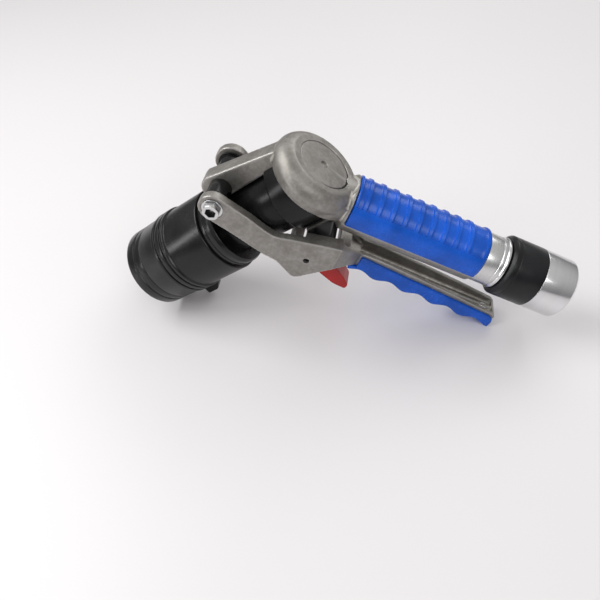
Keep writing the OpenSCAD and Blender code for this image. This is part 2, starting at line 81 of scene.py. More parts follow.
def rounded(corners, radius=0.0, steps=4, loop=True):
    # a polyline with each corner replaced by a small arc; a corner may name its own radius
    line, count = [], len(corners)
    for i, corner in enumerate(corners):
        own = corner[2] if len(corner) > 2 else radius
        here = Vector(corner[:2])
        before = Vector(corners[i - 1][:2]) - here
        after = Vector(corners[(i + 1) % count][:2]) - here
        atEnd = not loop and i in (0, count - 1)
        if own <= 0 or atEnd or before.angle(after) > 3.1:
            line.append(tuple(here))
            continue
        half = before.angle(after) / 2
        reach = min(own / math.tan(half), before.length * 0.49, after.length * 0.49)
        own = reach * math.tan(half)
        inward = (before.normalized() + after.normalized()).normalized()
        centre = here + inward * own / math.sin(half)
        first = here + before.normalized() * reach - centre
        last = here + after.normalized() * reach - centre
        sweep = -first.angle_signed(last)
        for k in range(steps + 1):
            a = sweep * k / steps
            spoke = Vector((first.x * math.cos(a) - first.y * math.sin(a),
                            first.x * math.sin(a) + first.y * math.cos(a)))
            line.append(tuple(centre + spoke))
    return line


# ---- modelling helpers; every piece is drawn in millimetres in one of the frames ----
def deselectEverything():
    if bpy.context.object and bpy.context.object.mode != "OBJECT":
        bpy.ops.object.mode_set(mode="OBJECT")
    bpy.ops.object.select_all(action="DESELECT")


def pick(piece):
    deselectEverything()
    piece.hide_set(False)
    piece.select_set(True)
    bpy.context.view_layer.objects.active = piece


def drawLine(name, points):
    deselectEverything()
    bpy.ops.mesh.primitive_plane_add(size=1)
    piece = bpy.context.object
    piece.name = name
    piece.data.name = name
    bpy.ops.object.mode_set(mode="EDIT")
    bpy.ops.mesh.select_mode(type="VERT")
    bpy.ops.mesh.select_all(action="SELECT")
    bpy.ops.mesh.merge(type="CENTER")
    here = Vector(points[0])
    bpy.ops.transform.translate(value=here)
    for point in points[1:]:
        step = Vector(point) - here
        bpy.ops.mesh.extrude_region_move(TRANSFORM_OT_translate={"value": step})
        here = Vector(point)
    return piece


def spunPiece(name, profile, steps=160, closed=True):
    # profile points are (distance along the axis, radius)
    points = [(x, 0, r) for x, r in profile]
    piece = drawLine(name, points + points[:1] if closed else points)
    bpy.ops.mesh.select_all(action="SELECT")
    bpy.ops.mesh.spin(steps=steps, angle=math.tau, center=(0, 0, 0), axis=(1, 0, 0))
    tidyMesh()
    return piece


def tidyMesh(near=0.004):
    bpy.ops.mesh.select_all(action="SELECT")
    bpy.ops.mesh.remove_doubles(threshold=near)
    bpy.ops.mesh.normals_make_consistent(inside=False)
    bpy.ops.object.mode_set(mode="OBJECT")


def platePiece(name, outline, near, far):
    # outline points are (x, z); the plate runs from y near to y far
    piece = drawLine(name, [(x, near, z) for x, z in outline])
    bpy.ops.mesh.select_all(action="SELECT")
    bpy.ops.mesh.edge_face_add()
    bpy.ops.mesh.extrude_region_move(TRANSFORM_OT_translate={"value": (0, far - near, 0)})
    tidyMesh()
    return piece


def planPiece(name, outline, low, high):
    # outline points are (x, y); the block runs from z low to z high
    piece = drawLine(name, [(x, y, low) for x, y in outline])
    bpy.ops.mesh.select_all(action="SELECT")
    bpy.ops.mesh.edge_face_add()
    bpy.ops.mesh.extrude_region_move(TRANSFORM_OT_translate={"value": (0, 0, high - low)})
    tidyMesh()
    return piece


def rodAcross(name, place, radius, near, far, sides=48):
    deselectEverything()
    bpy.ops.mesh.primitive_cylinder_add(
        vertices=sides, radius=radius, depth=far - near,
        location=(place[0], (near + far) / 2, place[1]), rotation=(math.pi / 2, 0, 0))
    return nameAndApply(name)


def rodAlong(name, start, end, radius, sides=64):
    deselectEverything()
    bpy.ops.mesh.primitive_cylinder_add(
        vertices=sides, radius=radius, depth=end - start,
        location=((start + end) / 2, 0, 0), rotation=(0, math.pi / 2, 0))
    return nameAndApply(name)


def nameAndApply(name):
    piece = bpy.context.object
    piece.name = name
    piece.data.name = name
    bpy.ops.object.transform_apply(location=True, rotation=True, scale=True)
    return piece


def intoBarrelFrame(piece, fromFrame):
    # moves a part drawn in another frame into the barrel's own millimetres
    piece.matrix_world = barrelFrame.inverted() @ fromFrame
    pick(piece)
    bpy.ops.object.transform_apply(location=True, rotation=True, scale=True)
    return piece


def addModifier(piece, kind, **settings):
    pick(piece)
    bpy.ops.object.modifier_add(type=kind)
    modifier = piece.modifiers[-1]
    for key, value in settings.items():
        setattr(modifier, key, value)
    bpy.ops.object.modifier_apply(modifier=modifier.name)


def combine(piece, tool, operation="DIFFERENCE"):
    addModifier(piece, "BOOLEAN", operation=operation, object=tool, solver="EXACT")
    bpy.data.objects.remove(tool)
    return piece


def joinPieces(piece, others):
    pick(piece)
    for other in others:
        other.select_set(True)
    bpy.ops.object.join()
    return piece


def copyPiece(piece, name, matrix=None):
    pick(piece)
    bpy.ops.object.duplicate()
    copy = bpy.context.object
    copy.name = name
    copy.data.name = name
    if matrix:
        copy.data.transform(matrix)
    return copy


def softBevel(piece, width, segments=3, angle=35):
    addModifier(piece, "BEVEL", width=width, segments=segments, limit_method="ANGLE",
                angle_limit=math.radians(angle), use_clamp_overlap=True)


def castSoft(piece, voxel, passes):
    # one skin over joined solids, with the soft edges and hollows of a casting
    addModifier(piece, "REMESH", mode="VOXEL", voxel_size=voxel)
    addModifier(piece, "SMOOTH", factor=0.5, iterations=passes)


def finishPiece(piece, where, body, slotName, replaced=(), smooth=40):
    # sets the piece in the shared frame, with its place in its mesh
    piece.matrix_world = where
    pick(piece)
    bpy.ops.object.transform_apply(location=True, rotation=True, scale=True)
    bpy.ops.object.shade_smooth_by_angle(angle=math.radians(smooth))
    piece.data.materials.clear()
    piece.data.materials.append(finishes[slotName])
    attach(piece, body)
    if replaced:
        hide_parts(*replaced)
    return piece


# ---- shader helpers ----
class Signal:
    def __init__(self, paint, socket):
        self.paint = paint
        self.socket = socket

    def maths(self, operation, first, second):
        return self.paint.add("ShaderNodeMath", {"operation": operation}, {0: first, 1: second})

    def __add__(self, other):
        return self.maths("ADD", self, other)

    def __radd__(self, other):
        return self.maths("ADD", other, self)

    def __sub__(self, other):
        return self.maths("SUBTRACT", self, other)

    def __rsub__(self, other):
        return self.maths("SUBTRACT", other, self)

    def __mul__(self, other):
        return self.maths("MULTIPLY", self, other)

    def __rmul__(self, other):
        return self.maths("MULTIPLY", other, self)


class Paint:
    def __init__(self, name):
        self.material = bpy.data.materials.new(name)
        self.material.use_nodes = True
        self.tree = self.material.node_tree
        self.tree.nodes.clear()
        self.place = self.add("ShaderNodeTexCoord", output="Object")

    def add(self, kind, settings=None, inputs=None, output=0):
        node = self.tree.nodes.new(kind)
        for key, value in (settings or {}).items():
            if key == "stops":
                ramp = node.color_ramp
                while len(ramp.elements) < len(value):
                    ramp.elements.new(0.5)
                for element, (position, colour) in zip(ramp.elements, value):
                    element.position = position
                    element.color = colour if isinstance(colour, tuple) else (colour,) * 3 + (1,)
            else:
                setattr(node, key, value)
        for key, value in (inputs or {}).items():
            if isinstance(value, Signal):
                self.tree.links.new(value.socket, node.inputs[key])
            else:
                node.inputs[key].default_value = value
        return Signal(self, node.outputs[output])

    def noise(self, scale, detail=2.0, roughness=0.5, place=None):
        return self.add("ShaderNodeTexNoise", {"noise_dimensions": "3D"},
                        {"Vector": place or self.place, "Scale": scale, "Detail": detail,
                         "Roughness": roughness})

    def ramp(self, value, stops):
        return self.add("ShaderNodeValToRGB", {"stops": stops}, {0: value})

    def blend(self, factor, first, second):
        # colours are mixed here, because a Math node would turn them grey
        node = self.tree.nodes.new("ShaderNodeMix")
        node.data_type = "RGBA"
        self.tree.links.new(factor.socket, node.inputs[0])
        for socket, colour in ((node.inputs[6], first), (node.inputs[7], second)):
            if isinstance(colour, Signal):
                self.tree.links.new(colour.socket, socket)
            else:
                socket.default_value = colour + (1,)
        return Signal(self, node.outputs[2])

    def turned(self, where, stretch):
        # object coordinates in one of the nozzle's frames, squeezed by stretch along each axis
        rotation = where.to_3x3().normalized().inverted().to_euler()
        away = where.inverted().translation * millimetre
        straight = self.add("ShaderNodeMapping", {"vector_type": "POINT"},
                            {"Vector": self.place, "Rotation": tuple(rotation),
                             "Location": tuple(away)})
        return self.add("ShaderNodeMapping", {"vector_type": "POINT"},
                        {"Vector": straight, "Scale": stretch})

    def bump(self, height, distance, strength=1.0, normal=None):
        inputs = {"Height": height, "Distance": distance, "Strength": strength}
        if normal:
            inputs["Normal"] = normal
        return self.add("ShaderNodeBump", None, inputs)

    def edges(self, low, high):
        # worn outer edges and corners; with its stops reversed, the hollows for painted shade
        pointy = self.add("ShaderNodeNewGeometry", output="Pointiness")
        return self.ramp(pointy, [(low, 0.0), (high, 1.0)])

    def finish(self, **inputs):
        names = {key: key.replace("_", " ") for key in inputs}
        shader = self.add("ShaderNodeBsdfPrincipled", None,
                          {names[key]: value for key, value in inputs.items()})
        output = self.tree.nodes.new("ShaderNodeOutputMaterial")
        self.tree.links.new(shader.socket, output.inputs["Surface"])
        return self.material


# ---- finishes ----
def castFinish(name, colours, rough, grain):
    paint = Paint(name)
    clouds = paint.noise(80, 3, 0.6)
    stains = paint.noise(420, 4, 0.65)
    speck = paint.noise(2600, 2, 0.5)
    mottle = clouds * 0.5 + stains * 0.5
    colour = paint.ramp(mottle, [(0.38, colours[0]), (0.5, colours[1]), (0.6, colours[2])])
    worn = paint.edges(0.504, 0.54)
    # painted shade: the concave hollows of the casting are darkened in the colour
    hollowShade = paint.edges(0.492, 0.46)
    colour = paint.blend(worn * 0.8, colour, (0.86, 0.85, 0.82))
    colour = paint.blend(hollowShade * 0.6, colour, (0.13, 0.12, 0.11))
    gloss = rough + mottle * 0.2 - worn * 0.12 + speck * 0.06
    fine = paint.bump(speck, 0.00016, grain)
    broad = paint.bump(stains, 0.0008, 0.2, fine)
    return paint.finish(Base_Color=colour, Metallic=0.8, Roughness=gloss, Normal=broad)


def turnedFinish(name, where, colour, rough, lines):
    # fine turning lines round the axis of the given frame
    paint = Paint(name)
    rings = paint.noise(1.0, 3, 0.6, paint.turned(where, (lines, 9, 9)))
    smears = paint.noise(1.0, 2, 0.5, paint.turned(where, (60, 60, 60)))
    shade = paint.ramp(rings * 0.6 + smears * 0.4,
                       [(0.3, tuple(c * 0.82 for c in colour) + (1,)), (0.7, colour + (1,))])
    gloss = rough + smears * 0.1 + rings * 0.06
    normal = paint.bump(rings, 0.00004, 0.35)
    return paint.finish(Base_Color=shade, Metallic=1.0, Roughness=gloss, Normal=normal)


def mouldedFinish(name, colour, rough, coat, scuff, peel, shine):
    # moulded or painted, with a faint orange peel and uneven gloss
    paint = Paint(name)
    clouds = paint.noise(70, 3, 0.5)
    peelNoise = paint.noise(900, 2, 0.5)
    scratches = paint.noise(420, 6, 0.75)
    dark = tuple(c * 0.8 for c in colour) + (1,)
    light = tuple(min(1, c * 1.15 + 0.004) for c in colour) + (1,)
    base = paint.ramp(clouds, [(0.35, dark), (0.65, light)])
    rub = paint.ramp(scratches, [(0.52, 0.0), (0.72, 1.0)])
    gloss = rough + clouds * 0.08 + rub * scuff * 3
    return paint.finish(Base_Color=base, Roughness=gloss, Coat_Weight=coat, Coat_Roughness=0.12,
                        Specular_IOR_Level=shine, Normal=paint.bump(peelNoise, 0.00006, peel))


finishes = {
    "cast_aluminium": castFinish(
        "castAluminium", [(0.39, 0.37, 0.335, 1), (0.52, 0.5, 0.465, 1), (0.66, 0.64, 0.605, 1)],
        0.34, 0.4),
    "machined_aluminium": turnedFinish(
        "machinedAluminium", gripFrame, (0.74, 0.74, 0.74), 0.2, 2600),
    "polished_steel": turnedFinish("polishedSteel", gripFrame, (0.8, 0.8, 0.81), 0.09, 3400),
    "black_shell": mouldedFinish("blackShell", (0.003, 0.003, 0.0035), 0.2, 0.0, 0.02, 0.12, 0.4),
    "black_neck": mouldedFinish("blackNeck", (0.003, 0.003, 0.0034), 0.2, 0.0, 0.02, 0.1, 0.24),
    "black_plastic": mouldedFinish(
        "blackSleeve", (0.006, 0.0065, 0.008), 0.26, 0.0, 0.03, 0.3, 0.3),
    "blue_grip": mouldedFinish("blueGrip", (0.001, 0.092, 0.56), 0.22, 0.0, 0.02, 0.3, 0.34),
    "red_latch": mouldedFinish("redLatch", (0.4, 0.01, 0.01), 0.26, 0.1, 0.02, 0.3, 0.35),
    "seal_rubber": mouldedFinish("sealRubber", (0.012, 0.012, 0.012), 0.5, 0.0, 0.05, 0.5, 0.3),
    "plated_steel": turnedFinish("platedSteel", barrelFrame, (0.72, 0.72, 0.73), 0.16, 1500),
    "spring_steel": turnedFinish("springSteel", barrelFrame, (0.55, 0.55, 0.56), 0.26, 2000),
    "jaw_steel": turnedFinish("jawSteel", barrelFrame, (0.5, 0.5, 0.51), 0.3, 2200),
    "brass": turnedFinish("brass", barrelFrame, (0.72, 0.52, 0.24), 0.24, 2200),
    "bronze": turnedFinish("bronze", barrelFrame, (0.55, 0.38, 0.2), 0.34, 1500),
}
slots = {part["node"]: part["material_slot"] for part in record["subparts"]}
for nodeName, node in frame["nodes"].items():
    node.data.materials.clear()
    node.data.materials.append(finishes[slots[nodeName]])
print("finishes made:", len(finishes))

# ---- barrel ----
casting = {"domeR": 29.1, "discR": 17.3, "crown": 0.9, "domeDepth": 15.6, "frontR": 26.6,
           "bellyR": 25.5, "bellyDeep": 10.6, "spineHalf": 6, "spineLow": 21.2, "spineNoseX": 48.5,
           "spineNoseR": 9, "collarR": 17.6, "coreR": 14.5, "underR": 17.8, "saddleN": 4.7,
           "coreEnd": 118, "chamberR": 15.2, "fuelR": 8, "voxel": 0.62, "passes": 9}
barrel = {"noseX": 141.6, "noseR": 29, "mouthR": 22, "noseRearX": 127, "shellR": 29.2,
          "bandX": 113, "bandR": 30.4, "boreR": 25, "wallX": 76, "rearX": 68.6, "collarRearX": 59,
          "neckR": 20.45, "flangeX": 14, "flangeR": 24, "turns": 176}


def makeNoseRing():
    b = barrel
    front, back = -b["noseX"], -b["noseRearX"] - 0.05
    profile = rounded([
        (front + 1.6, b["mouthR"], 0.3), (front, b["mouthR"] + 1.6, 0.5),
        (front, b["noseR"], 1.5), (front + 7.4, b["noseR"], 0.3),
        (front + 7.8, b["noseR"] - 0.5, 0.2), (front + 9, b["noseR"] - 0.5, 0.2),
        (front + 9.3, b["noseR"], 0.2),
        (back, b["noseR"], 0.5), (back, b["mouthR"], 0.3)])
    piece = spunPiece("noseRing", profile, b["turns"])
    finishPiece(piece, barrelFrame, "nozzle_body", "black_shell", ["nose_ring"])


def makeBarrelShell():
    b = barrel
    r, front, rear = b["shellR"], -b["noseRearX"], -b["rearX"]
    band, high = -b["bandX"], b["bandR"]
    corners = [(front, b["boreR"], 0.2), (front, r, 0.7), (band, r, 0.5), (band + 0.9, high, 0.6)]
    for groove in (3.5, 8.3):
        corners += [(band + groove, high, 0.35), (band + groove + 0.15, high - 0.9, 0.25),
                    (band + groove + 1.4, high - 0.9, 0.25), (band + groove + 1.55, high, 0.35)]
    corners += [
        (band + 11.8, high, 0.8), (band + 12.9, r, 0.9), (rear, r, 0.9), (rear, b["neckR"], 0.2),
        (-b["wallX"], b["neckR"], 0.2), (-b["wallX"], b["boreR"], 0.5)]
    piece = spunPiece("barrelShell", rounded(corners, steps=3), b["turns"])
    lug = platePiece("lug", rounded([
        (-124, -24), (-124, -38.4, 1.2), (-114.5, -38.4, 3.6), (-110.5, -34.4, 3.2), (-110.5, -24)],
        steps=6), -4, 4)
    softBevel(lug, 0.7)
    combine(piece, lug, "UNION")
    # the lug's root is cut out of the bore
    bore = rodAlong("bore", front - 2, -b["wallX"] - 0.01, b["boreR"] - 0.02, b["turns"])
    combine(piece, bore)
    finishPiece(piece, barrelFrame, "nozzle_body", "black_shell", ["barrel_shell"], 30)


def makeCollarAndFlange():
    b = barrel
    rear, end = -b["rearX"] + 0.05, -b["collarRearX"]
    collar = spunPiece("rearCollar", rounded([
        (rear, b["neckR"]), (rear, 27.5, 0.3), (rear + 3, 27.5, 0.1), (rear + 3.2, 27.1, 0.1),
        (rear + 3.9, 27.1, 0.1), (rear + 4.1, 27.5, 0.1), (rear + 7, 27.5, 0.6), (end, 26.4, 0.8),
        (end, b["neckR"])], steps=3), b["turns"])
    finishPiece(collar, barrelFrame, "nozzle_body", "black_shell", ["rear_collar"])
    front, outer = -b["flangeX"], b["flangeR"]
    flange = spunPiece("flangeRing", rounded([
        (front, b["neckR"]), (front, outer, 1.3), (9, outer), (9, b["neckR"])], steps=6),
        b["turns"])
    face = -casting["domeDepth"] - 0.05
    domeRoom = spunPiece("domeRoom", [(face, 0), (face, 60), (45, 60), (45, 0)], 48, closed=False)
    combine(flange, intoBarrelFrame(domeRoom, domeFrame))
    side = casting["spineHalf"] + 0.05
    combine(flange, platePiece("slot", [(-20, 0), (20, 0), (20, 40), (-20, 40)], -side, side))
    finishPiece(flange, barrelFrame, "nozzle_body", "black_neck", ["flange_ring"])


makeNoseRing()
makeBarrelShell()
makeCollarAndFlange()
print("barrel made")

# ---- dome, neck and spine of the casting ----
pivot = (-44.4, 28.7)
boltR = 4.0


def makeCasting():
    c = casting
    shoulder = arcPoints((-8.4, c["discR"] + 2), c["domeR"] - c["discR"] - 2, 15, 90, 8)
    dome = spunPiece("dome", [(c["crown"], 0), (c["crown"], c["discR"] + 2.4)] + shoulder +
                     [(-c["domeDepth"], c["frontR"]), (-c["domeDepth"], 0)], 120)
    intoBarrelFrame(dome, domeFrame)
    deselectEverything()
    bpy.ops.mesh.primitive_uv_sphere_add(segments=96, ring_count=64, radius=c["bellyR"],
                                         location=(8, 0, -4))
    belly = nameAndApply("belly")
    front = barrelFrame.inverted() @ domeFrame @ Vector((-c["domeDepth"], 0, 0))
    way = (barrelFrame.inverted() @ domeFrame).to_3x3() @ Vector((1, 0, 0))
    bpy.ops.object.mode_set(mode="EDIT")
    bpy.ops.mesh.select_all(action="SELECT")
    bpy.ops.mesh.bisect(plane_co=front, plane_no=way, use_fill=True, clear_inner=True)
    bpy.ops.mesh.select_all(action="SELECT")
    bpy.ops.mesh.bisect(plane_co=front + way * c["bellyDeep"], plane_no=way, use_fill=True,
                        clear_outer=True)
    tidyMesh()
    collar = intoBarrelFrame(spunPiece("collar", rounded([
        (21, 0), (21, 11), (28, c["collarR"], 2), (29.6, c["collarR"], 0.6), (29.6, 0)]),
        96, closed=False), gripFrame)
    # the dome's shoulder stays clear of the collar
    clear = spunPiece("clear", [(-3, 0), (-3, 24.5), (17, 24.5), (17, 0)], 96, closed=False)
    combine(collar, intoBarrelFrame(clear, domeFrame))
    core = intoBarrelFrame(spunPiece("core", [
        (6, 0), (6, c["coreR"]), (c["coreEnd"], c["coreR"]), (c["coreEnd"], 0)], 72, closed=False),
        gripFrame)
    # the lower half of the grip is bare casting
    under = rodAlong("under", 28, c["coreEnd"], c["underR"], sides=120)
    half = planPiece("half", [(20, -30), (130, -30), (130, 30), (20, 30)], -30, -c["saddleN"])
    combine(under, half, "INTERSECT")
    intoBarrelFrame(under, gripFrame)
    nose = (-c["spineNoseX"], c["spineLow"] + c["spineNoseR"])
    spine = platePiece("spine", [(6, c["spineLow"]), (6, 29.4), (-1, 30.8)] +
                       arcPoints(nose, c["spineNoseR"], 90, 270, 20),
                       -c["spineHalf"], c["spineHalf"])
    lug = platePiece("lug", [(-18, -26.6), (10, -26.6), (10, -24.2), (-18, -24.2)], -8, 8)
    whole = joinPieces(dome, [belly, collar, core, under, spine, lug])
    whole.name = whole.data.name = "bodyCasting"
    castSoft(whole, c["voxel"], c["passes"])
    # the disc's seat stands a little towards the grip, so the gap is widest there
    recess = spunPiece("recess", rounded([
        (-4.3, 0), (-4.3, c["discR"] + 0.5, 0.4), (0.5, c["discR"] + 0.5, 0.2),
        (1.4, c["discR"] + 1.2), (1.4, 0)], steps=2), 120, closed=False)
    recess.data.transform(Matrix.Translation((0, 0.1, -0.42)))
    combine(whole, intoBarrelFrame(recess, domeFrame))
    combine(whole, rodAcross("boltWay", pivot, boltR + 0.3, -12, 12))
    combine(whole, rodAlong("socket", -14, 1.6, barrel["neckR"] + 0.05, sides=96))
    # room for the flange ring, below the spine and in front of the dome
    flangeRoom = rodAlong("flangeRoom", -15, 12, barrel["flangeR"] + 0.1, sides=96)
    front = spunPiece("front", [(-60, 0), (-60, 50), (-c["domeDepth"] - 0.03, 50),
                                (-c["domeDepth"] - 0.03, 0)], 48, closed=False)
    combine(flangeRoom, intoBarrelFrame(front, domeFrame), "INTERSECT")
    low = platePiece("low", [(-40, -60), (40, -60), (40, 0), (-40, 0)], -40, 40)
    combine(flangeRoom, low, "INTERSECT")
    combine(whole, flangeRoom)
    # chamber behind the valve, fuel way up the grip and the socket of the handle tube
    combine(whole, rodAlong("chamber", 1, 10, c["chamberR"]))
    combine(whole, intoBarrelFrame(rodAlong("chamber", -14, -4.2, c["chamberR"]), domeFrame))
    past = c["coreEnd"] + 4
    combine(whole, intoBarrelFrame(rodAlong("fuelWay", 0, past, c["fuelR"]), gripFrame))
    combine(whole, intoBarrelFrame(rodAlong("socket", 100, past, 12), gripFrame))
    finishPiece(whole, barrelFrame, "nozzle_body", "cast_aluminium", ["body_casting"], 50)


def makeDisc():
    r, top = casting["discR"], casting["crown"]
    disc = spunPiece("domeDisc", rounded([
        (-4, 0), (-4, r), (top - 0.35, r, 0.3), (top - 0.1, r - 0.5, 0.5), (top, r * 0.5, 9),
        (top, 2.5, 0.25), (top - 1, 2.1, 0.4), (top - 2.4, 1.5, 0.5), (top - 2.5, 0)],
        loop=False), 120, closed=False)
    finishPiece(disc, domeFrame, "nozzle_body", "cast_aluminium", ["dome_disc"], 50)


makeCasting()
makeDisc()
print("casting made")

# ---- lever ----
lever = {"armHalf": 27, "armT": 6, "channelHalf": 8.5, "wall": 2.5, "start": 52, "end": 157,
         "cheekEnd": 35, "webN": 26.2, "webEnd": 43, "floorN": 38, "floorT": 2.2, "tipR": 9.2,
         "farTipR": 11.3, "pinSunk": 1.2, "screws": (66, 107, 149), "voxel": 0.6, "passes": 6}
latchPivot = (-20.8, -33.5)
wallTop = [(52, 28.8), (65, 28.4), (80, 29.2), (103, 30.8), (127, 32.5), (154, 35.2)]


def floorTop(s):
    return lever["floorN"] + 0.02 * (s - lever["start"])


def channelLow(s):
    return floorTop(s) + lever["floorT"]


def padLow(s):
    # the finger hollows
    return 42.7 + 0.025 * (s - 50) - 1.6 * math.cos(math.tau * (s - 57) / 22)


def leverPlan(name, wide, narrow, back):
    v = lever
    plan = planPiece(name, [
        (-120, -wide), (v["cheekEnd"], -wide), (v["start"], -narrow), (back, -narrow),
        (back, narrow), (v["start"], narrow), (v["cheekEnd"], wide), (-120, wide)], -90, 90)
    return intoBarrelFrame(plan, gripFrame)


def makeYoke():
    v = lever
    outline = arcPoints(pivot, v["tipR"], 200, 15, 24)
    outline += [(-29.8, 10.2), (-27.6, -1.5), (-26.0, -6.9), (-22.9, -10.9), (-18.6, -14.6),
                (-12.4, -20.8), (-5.3, -27.8), (-0.2, -33.2), (4.6, -38.2)]
    outline += [atGrip(s, n) for s, n in wallTop]
    outline += [atGrip(v["end"], 37.4), atGrip(v["end"] - 1, channelLow(v["end"]))]
    outline += [atGrip(v["start"], channelLow(v["start"])), atGrip(48, 38), atGrip(35, 34.5)]
    outline += [(-20, -45.6)] + arcPoints((-32.9, -36.85), 5.5, -100, -180, 10)
    outline += [(-37.9, -24), (-41.9, -14.6), (-48, 9), (-51.4, 20)]
    yoke = platePiece("leverYoke", outline, -v["armHalf"], v["armHalf"])
    combine(yoke, leverPlan("outside", v["armHalf"], v["channelHalf"], v["end"] + 5), "INTERSECT")
    room = platePiece("room", [
        atGrip(-120, -90), atGrip(200, -90), atGrip(200, floorTop(200)),
        atGrip(v["start"], v["floorN"]), atGrip(v["start"], v["webN"] + 6.3),
        atGrip(v["webEnd"], v["webN"] + 6.3), atGrip(v["webEnd"], v["webN"]),
        atGrip(v["cheekEnd"], v["webN"]), atGrip(v["cheekEnd"], 90), atGrip(-120, 90)], -40, 40)
    combine(room, leverPlan("inside", v["armHalf"] - v["armT"], v["channelHalf"] - v["wall"],
                            v["end"] - v["wall"]), "INTERSECT")
    combine(yoke, room)
    farTip = rodAcross("farTip", pivot, v["farTipR"], v["armHalf"] - v["armT"], v["armHalf"], 72)
    # a rib along the channel floor, with a boss round each pad screw
    rib = platePiece("rib", [atGrip(50, 35.6), atGrip(155, 37.6), atGrip(155, 41), atGrip(50, 39)],
                     -1, 1)
    # a short cross web between the cheeks, below the neck
    web = platePiece("web", [(-36.6, -28), (-32, -28), (-32, -37), (-36.6, -37)], -21.5, 21.5)
    bosses = []
    for s in v["screws"]:
        boss = spunPiece("boss", rounded([(-floorTop(s) - 1, 0), (-floorTop(s) - 1, 3.9),
                                          (-floorTop(s) + 1.4, 3.6, 0.5), (-floorTop(s) + 1.4, 0)]),
                         32, closed=False)
        turn = Matrix.Translation((s, 0, 0)) @ Matrix.Rotation(-math.pi / 2, 4, "Y")
        boss.data.transform(turn)
        bosses.append(intoBarrelFrame(boss, gripFrame))
    # a shelf inside the rear edge of each cheek
    shelves = [platePiece("shelf", [(-12.4, -20.8), (4.6, -38.2), (2.5, -40.3), (-14.5, -22.9)],
                          min(side * 16.5, side * 21.5), max(side * 16.5, side * 21.5))
               for side in (-1, 1)]
    joinPieces(yoke, [rib, web, farTip] + shelves + bosses)
    castSoft(yoke, v["voxel"], v["passes"])
    for side in (-1, 1):
        outer, depth = side * v["armHalf"], 0.9 * side
        combine(yoke, rodAcross("seat", pivot, 7.2, min(outer - depth, outer + depth),
                                max(outer - depth, outer + depth)))
    combine(yoke, rodAcross("boltWay", pivot, 5.05, -40, 40))
    combine(yoke, rodAcross("latchWay", latchPivot, 2.1, -40, 40))
    pinEnd = v["armHalf"] - v["pinSunk"]
    combine(yoke, rodAcross("pinWay", (-36, 0), 2.25, -pinEnd, pinEnd))
    finishPiece(yoke, barrelFrame, "lever", "cast_aluminium", ["lever_yoke"], 50)


def makePad():
    v, half = lever, 10.3
    low = [atGrip(s, padLow(s)) for s in
           [v["end"] - (v["end"] - 48) * i / 96 for i in range(97)]]
    top = [atGrip(s, 31 + 0.068 * (s - 60)) for s in (53, 80, 110, 140, v["end"] - 4)]
    pad = platePiece("leverPad", top + [atGrip(v["end"] - 1, 39), atGrip(v["end"], 42)] + low +
                     [atGrip(48, 40.4), atGrip(53, 40)], -half, half)
    softBevel(pad, 1.5, 4, 50)
    past, side = v["end"] + 5, v["channelHalf"] + 0.05
    slot = platePiece("slot", [
        atGrip(40, 20), atGrip(past, 20), atGrip(past, channelLow(past) + 0.05),
        atGrip(40, channelLow(40) + 0.05)], -side, side)
    combine(pad, slot)
    finishPiece(pad, barrelFrame, "lever", "blue_grip", ["lever_pad"], 30)


def makeTrigger():
    # a red finger piece below, pressed into a black cam that turns on the latch pin
    trigger = platePiece("latchTrigger", rounded([
        (-18.1, -45, 1), (-18.8, -50, 20), (-21.4, -62, 20), (-22.4, -73, 6), (-24.2, -80.4, 3.4),
        (-28.4, -81.8, 1.8), (-32.6, -73, 10), (-34.6, -60, 10), (-30.6, -48, 6), (-29.2, -45, 1)],
        steps=6), -6.5, 6.5)
    castSoft(trigger, 0.36, 7)
    finishPiece(trigger, barrelFrame, "latch", "red_latch", ["latch_trigger"], 35)
    cam = platePiece("latchCam", rounded([
        (-20.8, -29.6, 2), (-16, -31, 3), (-6.8, -37, 1.5), (-8, -43.2, 1.5), (-17, -46, 3),
        (-30, -46, 1.5), (-24.8, -35, 3)], steps=6), -14, 8)
    joinPieces(cam, [rodAcross("hub", latchPivot, 3.95, -14, 8)])
    castSoft(cam, 0.4, 3)
    combine(cam, rodAcross("way", latchPivot, 2.07, -10, 10))
    finishPiece(cam, barrelFrame, "latch", "black_plastic", [], 35)


makeYoke()
makePad()
makeTrigger()
print("lever made")

# ---- grip cover ----
grip = {"r": 18, "coreR": 14.55, "start": 30, "end": 119, "pocket": 0.8, "middle": 0.95,
        "ribs": 9, "firstRib": 6.5, "pitch": 8.6, "ribWidth": 2.0, "pocketArc": 58.5,
        "halfArc": 104.7}


